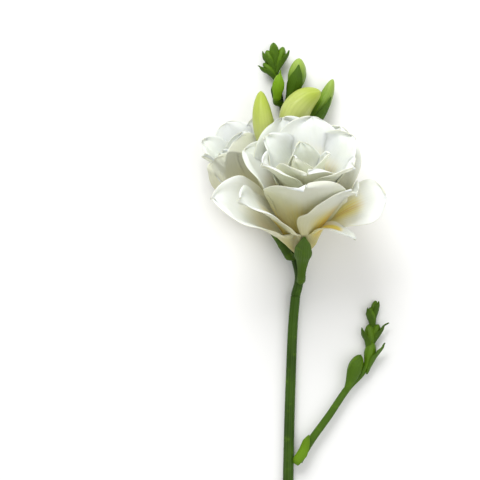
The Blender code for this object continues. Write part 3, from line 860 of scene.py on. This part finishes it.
@dataclass
class Stalk:
    """A green stalk. Its knots give places across and along, and the height of its underside."""

    knots: Knots
    foot_radius: float
    top_radius: float
    taper_start: float = 0.0
    lime: float = 0.0
    rib: float = 0.025
    columns: int = 32

    @property
    def path(self) -> Path:
        """The stalk's middle line."""
        line = smooth_line(self.knots, 6)
        last = len(line) - 1
        for i, point in enumerate(line):
            point.z += self.radius_at(i / last) * (1 + self.rib)
        return Path(line)

    def radius_at(self, s: float) -> float:
        """The radius at a share of the length."""
        share = max(0.0, (s - self.taper_start) / (1 - self.taper_start))
        return self.foot_radius + (self.top_radius - self.foot_radius) * share

    def build(self) -> bpy.types.Object:
        """The stalk's skin, gently ribbed, with flat ends."""
        path = self.path
        rows = max(24, int(path.length / STALK_ROW_LENGTH))

        def place(v: float, share: float) -> Vector:
            """A point of the skin, the first and last rows drawn in to close the ends."""
            inner = min(1.0, max(0.0, (share * rows - 1) / (rows - 2)))
            point, side, under = path.at(inner * path.length)
            angle = math.pi * v
            size = self.radius_at(inner) * (1 + self.rib * math.cos(5 * angle + 0.02 * inner * path.length))
            size = size if 0 < share < 1 else 0.0
            return point + (under * math.cos(angle) + side * math.sin(angle)) * size

        skin = Workbench.skin(rows, self.columns, place)
        Workbench.mark(skin, Tag.LIME, self.lime)
        return skin


# The flats on which petals press on what lies beside them: a point on each and the way off it
TABLE = Press((0.0, 0.0, 0.36), (0.0, 0.0, 1.0), soft=1.6)
BLOOMS_MEET = (-21.0, 44.0, 23.0)
BLOOMS_NORMAL = (0.62, -0.1, 0.78)
BUD_3_SIDE = (-22.0, 58.0, 9.4)
BUD_3_NORMAL = (0.42, 0.1, 0.9)


def tepal(
    azimuth: float, length: float, width: float, spread: float, curl: float, cup: float,
    ruffle: float, phase: float, root: float, stand: float, **more: float,
) -> Blade:
    """An outer petal that springs from outside the tube, stand clear of it."""
    shape = {"lean": 14.0, **more}
    return Blade(
        azimuth, length, width, spread,
        curl=curl, cup=cup, ruffle=ruffle, phase=phase, root=root, stand=stand, **shape,
    )


def inner_petal(
    azimuth: float, length: float, width: float, spread: float, curl: float, cup: float,
    ruffle: float, phase: float, root: float, root_radius: float, yolk: float = 0.5,
) -> Blade:
    """A petal of the double middle, rooted inside the throat at a radius of its own."""
    return Blade(
        azimuth, length, width, spread,
        curl=curl, cup=cup, ruffle=ruffle, phase=phase, root=root, root_radius=root_radius, yolk=yolk,
    )


BLOOM_1 = Flower(
    name="bloom_1",
    foot=(1.0, -6.5, 9.0),
    heading=2.0,
    elevation=31.0,
    tube_length=34.0,
    throat_radius=8.5,
    bracts=[Bract(180, 27.0, 68.0, lime=0.18), Bract(0, 14.0, 60.0)],
    presses=[Press(BLOOMS_MEET, BLOOMS_NORMAL, side=1.0, gap=0.7)],
    petals=[
        tepal(350, 38, 25, 60, 0, 16, 1.0, 0.4, 24, 0.6, yolk=0.8, lean=36, claw=0.4, twist=40, point=3.0),
        tepal(60, 55, 36, 33, 4, 26, 1.8, 1.2, 16, 1.6),
        tepal(112, 58, 40, 32, 4, 24, 1.8, 2.6, 16, 0.6),
        tepal(158, 53, 34, 25, 34, 34, 1.5, 3.9, 15, 1.6),
        tepal(201, 57, 37, 52, 4, 50, 1.6, 5.0, 10, 0.6, yolk=0.2, lean=34, claw=0.3, twist=-25),
        tepal(216, 54, 29, 44, 10, 34, 1.6, 2.8, 10, 1.6, yolk=1.3, lean=20, claw=0.25, twist=-15),
        tepal(267, 54, 40, 28, 6, 36, 2.4, 0.2, 13, 0.6, yolk=0.5, widest=0.7, point=3.0),
        tepal(316, 50, 34, 32, 10, 34, 1.8, 2.0, 13, 1.6, yolk=1.0),
        inner_petal(86, 49, 36, 30, 4, 40, 1.7, 1.0, 26, 4.8),
        inner_petal(146, 45, 32, 32, 8, 44, 1.6, 2.2, 26, 3.4),
        inner_petal(208, 42, 31, 30, 12, 46, 1.6, 3.6, 27, 4.8),
        inner_petal(268, 41, 33, 22, 18, 44, 2.0, 4.4, 28, 3.4),
        inner_petal(330, 43, 32, 30, 10, 46, 1.7, 5.4, 27, 4.8),
        inner_petal(30, 47, 34, 33, 6, 42, 1.6, 0.6, 26, 3.4),
        inner_petal(110, 38, 23, 13, -6, 60, 1.3, 1.6, 28, 1.6, yolk=0.9),
        inner_petal(230, 37, 23, 12, -8, 60, 1.3, 3.0, 28, 1.6, yolk=0.9),
        inner_petal(350, 38, 23, 13, -6, 60, 1.3, 4.8, 28, 1.6, yolk=0.9),
        Blade(
            azimuth=328, length=27, width=8, spread=92, curl=6, cup=50,
            claw=0.7, widest=0.4, root=25, lean=30, aside=-5, yolk=3.0,
        ),
    ],
)

BLOOM_2 = Flower(
    name="bloom_2",
    foot=(-5.8, 4.6, 7.6),
    heading=-26.0,
    elevation=9.0,
    tube_length=28.0,
    throat_radius=6.6,
    bracts=[Bract(180, 20.0, 78.0), Bract(0, 11.0, 78.0)],
    presses=[
        Press(BLOOMS_MEET, BLOOMS_NORMAL, side=-1.0, gap=0.7),
        Press(BUD_3_SIDE, BUD_3_NORMAL, side=-1.0, gap=0.7),
    ],
    petals=[
        tepal(30, 50, 29, 20, 4, 34, 1.5, 0.4, 14, 0.6, lean=10),
        tepal(87, 53, 31, 16, 4, 32, 1.6, 1.6, 13, 1.6, lean=10),
        tepal(146, 51, 26, 10, 4, 32, 1.6, 2.9, 13, 0.6, lean=10),
        tepal(209, 47, 28, 11, 2, 34, 1.6, 4.2, 12, 1.6, lean=10),
        tepal(251, 41, 38, 18, 6, 44, 1.7, 5.1, 15, 0.6, lean=10),
        tepal(318, 45, 30, 20, 8, 36, 1.6, 0.1, 14, 1.6, lean=10),
        inner_petal(62, 36, 26, 16, 2, 48, 1.5, 0.9, 23, 3.9),
        inner_petal(132, 34, 24, 13, 2, 48, 1.5, 2.0, 21, 2.8),
        inner_petal(198, 31, 23, 10, 2, 48, 1.5, 2.7, 22.5, 3.9),
        inner_petal(279, 30, 24, 12, 4, 48, 1.5, 4.1, 22, 2.8),
    ],
)

MAIN_STEM = Stalk(
    [
        (-6.5, -200.0, 0.0), (-6.0, -160.0, 0.0), (-5.2, -118.0, 0.0), (-4.4, -76.0, 0.0),
        (-3.6, -50.0, 0.1), (-2.8, -30.0, 0.6), (-1.6, -16.0, 1.5),
    ],
    STEM_RADIUS, FORK_RADIUS, STEM_TAPER_START,
)
RACHIS = Stalk(
    [
        (-1.6, -16.0, 1.5), (0.2, -7.0, 2.0), (-2.4, 5.0, 1.9), (-3.2, 20.0, 1.6), (-5.2, 36.0, 1.3),
        (-6.0, 50.0, 1.1), (-7.0, 64.0, 1.1), (-8.4, 76.0, 1.4), (-10.2, 86.0, 1.8), (-11.2, 93.0, 2.0),
    ],
    FORK_RADIUS, RACHIS_TIP_RADIUS,
)
SIDE_SHOOT = Stalk(
    [
        (-0.1, -92.3, 1.8), (5.6, -82.8, 2.2), (14.0, -71.2, 2.2), (22.6, -58.6, 1.8),
        (29.4, -51.4, 1.4), (33.0, -43.0, 1.0), (34.2, -32.0, 0.6), (34.8, -24.0, 0.4),
    ],
    SHOOT_RADIUS_FOOT, SHOOT_RADIUS_TOP, lime=0.1,
)
NODE_LEAF = Bract(210, 13.0, 80.0, 6.0, lime=0.55)

BUDS = [
    Bud(
        "bud_3",
        [(-6.8, 36, 8), (-10.2, 44, 10.6), (-14.8, 55, 14.2), (-17, 66, 14.6), (-17.8, 78.4, 13)],
        5.0, [Bract(100, 14.0), Bract(280, 12.0)],
    ),
    Bud(
        "bud_4",
        [(-5.2, 47, 7), (-5, 56, 10), (-3.6, 66, 12.8), (1.6, 73.6, 13.4), (9.8, 78.2, 12.8)],
        6.6, [Bract(260, 12.0), Bract(80, 12.0)],
    ),
    Bud(
        "bud_5",
        [(-2.2, 56, 4.2), (2.8, 61, 4.6), (8.2, 68, 4.8), (12.4, 76, 4.9), (15.8, 84.5, 5)],
        3.4, [Bract(150, 26.0, 62.0), Bract(320, 14.0)],
    ),
    Bud(
        "bud_6",
        [(-4.8, 73.6, 3.8), (-2.8, 79.6, 4.8), (-0.9, 86.6, 5.8), (0.2, 94, 6.2)],
        4.2, [Bract(180, 18.0, 66.0, 2.0), Bract(0, 8.0, 60.0)],
    ),
    Bud(
        "bud_7",
        [(-10.2, 76, 6), (-10, 80, 7.4), (-9, 86.4, 8)],
        2.4, [Bract(175, 13.0, 66.0, 2.0, lime=0.8), Bract(340, 7.0)],
    ),
]


def floret(
    line: Knots, radius: float, foot_radius: float, azimuth: float, length: float, flare: float
) -> Bud:
    """A small green bud with a pointed bract laid on it."""
    bract = Bract(azimuth, length, 66.0, flare, gap=-0.1, lime=0.15, teeth=0.2, rows=18, columns=8)
    return Bud("floret", line, radius, [bract], foot_radius, rows=20, columns=24)


SHOOT_FLORETS = [
    floret([(22.4, -58.6, 3.6), (24.8, -52.0, 4.0), (28.6, -43.0, 3.8)], 3.5, 1.6, 180, 17, 3),
    floret([(31.0, -50.0, 2.9), (32.6, -44.0, 3.3), (34.0, -37.0, 3.2)], 2.9, 1.4, 112, 14, 14),
    floret([(32.6, -42.0, 2.5), (33.0, -35.5, 2.9), (32.4, -29.0, 2.8)], 2.6, 1.2, 235, 12, 6),
    floret([(33.8, -38.0, 2.2), (35.4, -33.0, 2.5), (37.0, -29.0, 2.4)], 2.2, 1.0, 118, 12, 10),
    floret([(34.2, -31.0, 2.0), (34.0, -26.0, 2.3), (33.2, -21.0, 2.1)], 2.0, 1.0, 215, 10, 4),
    floret([(34.6, -27.0, 1.8), (35.0, -22.0, 1.9), (35.8, -18.0, 1.8)], 1.7, 0.9, 150, 9, 4),
]
TIP_FLORETS = [
    floret([(-10.0, 84.4, 2.8), (-13.2, 88.8, 3.0), (-16.6, 92.0, 2.8)], 2.0, 1.0, 240, 11, 6),
    floret([(-10.8, 88.0, 2.9), (-12.8, 93.0, 3.2), (-15.0, 98.0, 3.0)], 2.2, 1.0, 225, 11, 5),
    floret([(-11.0, 90.0, 2.9), (-11.4, 96.0, 3.2), (-11.8, 101.6, 2.8)], 2.3, 1.0, 180, 11, 4),
    floret([(-10.8, 88.0, 2.9), (-8.8, 93.6, 3.2), (-7.2, 99.6, 3.0)], 2.2, 1.0, 125, 11, 5),
]


@dataclass
class Greenery:
    """The stem with its rachis, necks, bracts and tip, and the side shoot."""

    stem_finish: bpy.types.Material
    bract_finish: bpy.types.Material

    def neck(self, foot: Vector, along: Vector, radius: float) -> bpy.types.Object:
        """The short green neck that carries a flower's foot on the rachis, a little behind it."""
        rachis = RACHIS.path
        top = foot - along * SEAT_GAP
        low = top - along * SEAT_LENGTH
        spots = [rachis.at(rachis.length * i / SEAT_SPOTS)[0] for i in range(SEAT_SPOTS + 1)]
        start = min(spots, key=lambda p: (p - (low - along * SEAT_LENGTH)).length)
        path = Path([start, low, top - along * 0.3 * SEAT_LENGTH, top])
        rows, columns = 12, 24

        def place(v: float, share: float) -> Vector:
            """A point of the skin, which widens to the flower's foot."""
            inner = min(1.0, max(0.0, (share * rows - 1) / (rows - 2)))
            point, side, under = path.at(inner * path.length)
            size = radius * (0.7 + 0.3 * smoothstep(inner / 0.8)) if 0 < share < 1 else 0.0
            angle = math.pi * v
            return point + (under * math.cos(angle) + side * math.sin(angle)) * size

        skin = Workbench.skin(rows, columns, place)
        Workbench.mark(skin, Tag.LIME, 0.2)
        return skin

    def small_buds(self, florets: list[Bud]) -> list[bpy.types.Object]:
        """Small green buds with the bracts laid on them."""
        sheets = []
        for item in florets:
            body = item.body()
            Workbench.mark(body, Tag.LIME, 0.3)
            sheets += [body, *item.wrap()]
        return sheets

    def build(self) -> None:
        """Make the stem, its bracts and tip, and the side shoot."""
        skins = [MAIN_STEM.build(), RACHIS.build()]
        bracts = []
        for flower in (BLOOM_1, BLOOM_2):
            path = flower.path
            along = (path.points[1] - path.points[0]).normalized()
            skins.append(self.neck(path.points[0], along, flower.tube_foot_radius + SEAT_RIM))
            bracts += [bract.build(path, flower.envelope) for bract in flower.bracts]
        for bud in BUDS:
            path = bud.path
            along = (path.points[1] - path.points[0]).normalized()
            skins.append(self.neck(path.points[0], along, bud.foot_radius + SEAT_RIM))
            bracts += bud.wrap()
        bracts.append(NODE_LEAF.build(SIDE_SHOOT.path, lambda d: SHOOT_RADIUS_FOOT))
        Workbench.join("stem_skin", skins, self.stem_finish, Slot.STEM, "stem")
        Workbench.join("flower_bracts", bracts, self.bract_finish, Slot.STEM, "stem")
        Workbench.join("tip_buds", self.small_buds(TIP_FLORETS), self.bract_finish, Slot.STEM, "stem")
        shoot = [SIDE_SHOOT.build()]
        Workbench.join("side_shoot_stalk", shoot, self.stem_finish, Slot.STEM, "side_shoot")
        florets = self.small_buds(SHOOT_FLORETS)
        Workbench.join("side_shoot_buds", florets, self.bract_finish, Slot.STEM, "side_shoot")


@dataclass
class Studio:
    """A pale floor, soft light and a camera that looks straight down."""

    camera_height: float = 0.9
    view_width: float = 0.21818
    focus_height: float = 0.02
    centre: tuple[float, float] = (-27.27, 10.0)
    sensor: float = 36.0
    lit_spot: tuple[float, float, float] = (0.0, 0.03, 0.02)
    floor_depth: float = 0.0002
    floor_size: float = 4.0
    sky: float = 0.6

    def floor(self) -> None:
        """The pale floor just under the stem."""
        bpy.ops.object.select_all(action="DESELECT")
        bpy.ops.mesh.primitive_plane_add(size=self.floor_size, location=(0, 0, -self.floor_depth))
        floor = bpy.context.object
        floor.name = "floor"
        graph = Graph("pale_floor")
        tone = graph.blend(graph.noise(6.0), tint(250, 250, 249), tint(246, 246, 245))
        graph.feed(graph.shader, "Base Color", tone)
        graph.feed(graph.shader, "Roughness", 0.9)
        floor.data.materials.append(graph.material)

    def light(self, name: str, place: tuple[float, float, float], size: float, power: float) -> None:
        """A soft square light that faces the stem."""
        bpy.ops.object.light_add(type="AREA", location=place)
        lamp = bpy.context.object
        lamp.name = name
        lamp.data.size = size
        lamp.data.energy = power
        aim = Vector(self.lit_spot) - Vector(place)
        lamp.rotation_euler = aim.to_track_quat("-Z", "Y").to_euler()

    def camera(self) -> None:
        """The camera over the flower head, with the photograph's framing."""
        x, y = self.centre
        place = (x * MM + ORIGIN_SHIFT.x * MM, y * MM + ORIGIN_SHIFT.y * MM, self.camera_height)
        bpy.ops.object.camera_add(location=place, rotation=(0, 0, 0))
        camera = bpy.context.object
        camera.data.sensor_width = self.sensor
        camera.data.lens = self.sensor * (self.camera_height - self.focus_height) / self.view_width
        camera.data.clip_end = 10.0
        bpy.context.scene.camera = camera

    def build(self) -> None:
        """Set up floor, lights, sky and camera."""
        self.floor()
        self.light("key_light", (-0.3, 1.1, 0.9), 0.8, 16.0)
        self.light("fill_light", (0.6, -0.1, 0.9), 0.9, 3.0)
        world = bpy.data.worlds.new("pale_sky")
        world.use_nodes = True
        background = world.node_tree.nodes["Background"]
        background.inputs["Color"].default_value = (1.0, 1.0, 1.0, 1.0)
        background.inputs["Strength"].default_value = self.sky
        bpy.context.scene.world = world
        bpy.context.scene.view_settings.view_transform = "Standard"
        self.camera()


def main() -> None:
    """Build the whole stem, piece by piece."""
    logging.basicConfig(level=logging.INFO)
    Studio().build()
    inside = PetalFinish("petal_inside").build()
    # Finish for the outer faces of the petals and the tube. It is a darker, creamier copy of the inside
    # finish: the cream is partly the backs' own tone, and the extra darkness is painted shade for faces turned
    # away from the light.
    outside_painted_shade = PetalFinish(
        "petal_outside_painted_shade", limb=tint(222, 224, 206), shade=tint(206, 209, 182), cream=tint(206, 201, 150),
        claw=tint(190, 178, 92), cream_reach=0.8,
    ).build()
    for flower in (BLOOM_1, BLOOM_2):
        flower.build(inside, outside_painted_shade)
    cream = BudFinish(
        "cream_bud", tint(112, 140, 30), tint(184, 193, 112), tint(166, 182, 66), tint(144, 164, 56)
    ).build()
    green = BudFinish(
        "green_bud", tint(60, 100, 14), tint(106, 142, 28), tint(150, 176, 76), tint(70, 106, 18)
    ).build()
    for bud in BUDS:
        ripe = bud.name in ("bud_3", "bud_4")
        slot = Slot.BUD_CREAM if ripe else Slot.BUD_GREEN
        Workbench.join(f"{bud.name}_tepals", [bud.body()], cream if ripe else green, slot, bud.name)
    Greenery(GreenFinish("stem_green").build(), GreenFinish("bract_green", ribs=9.0).build()).build()


if __name__ == "__main__":
    main()
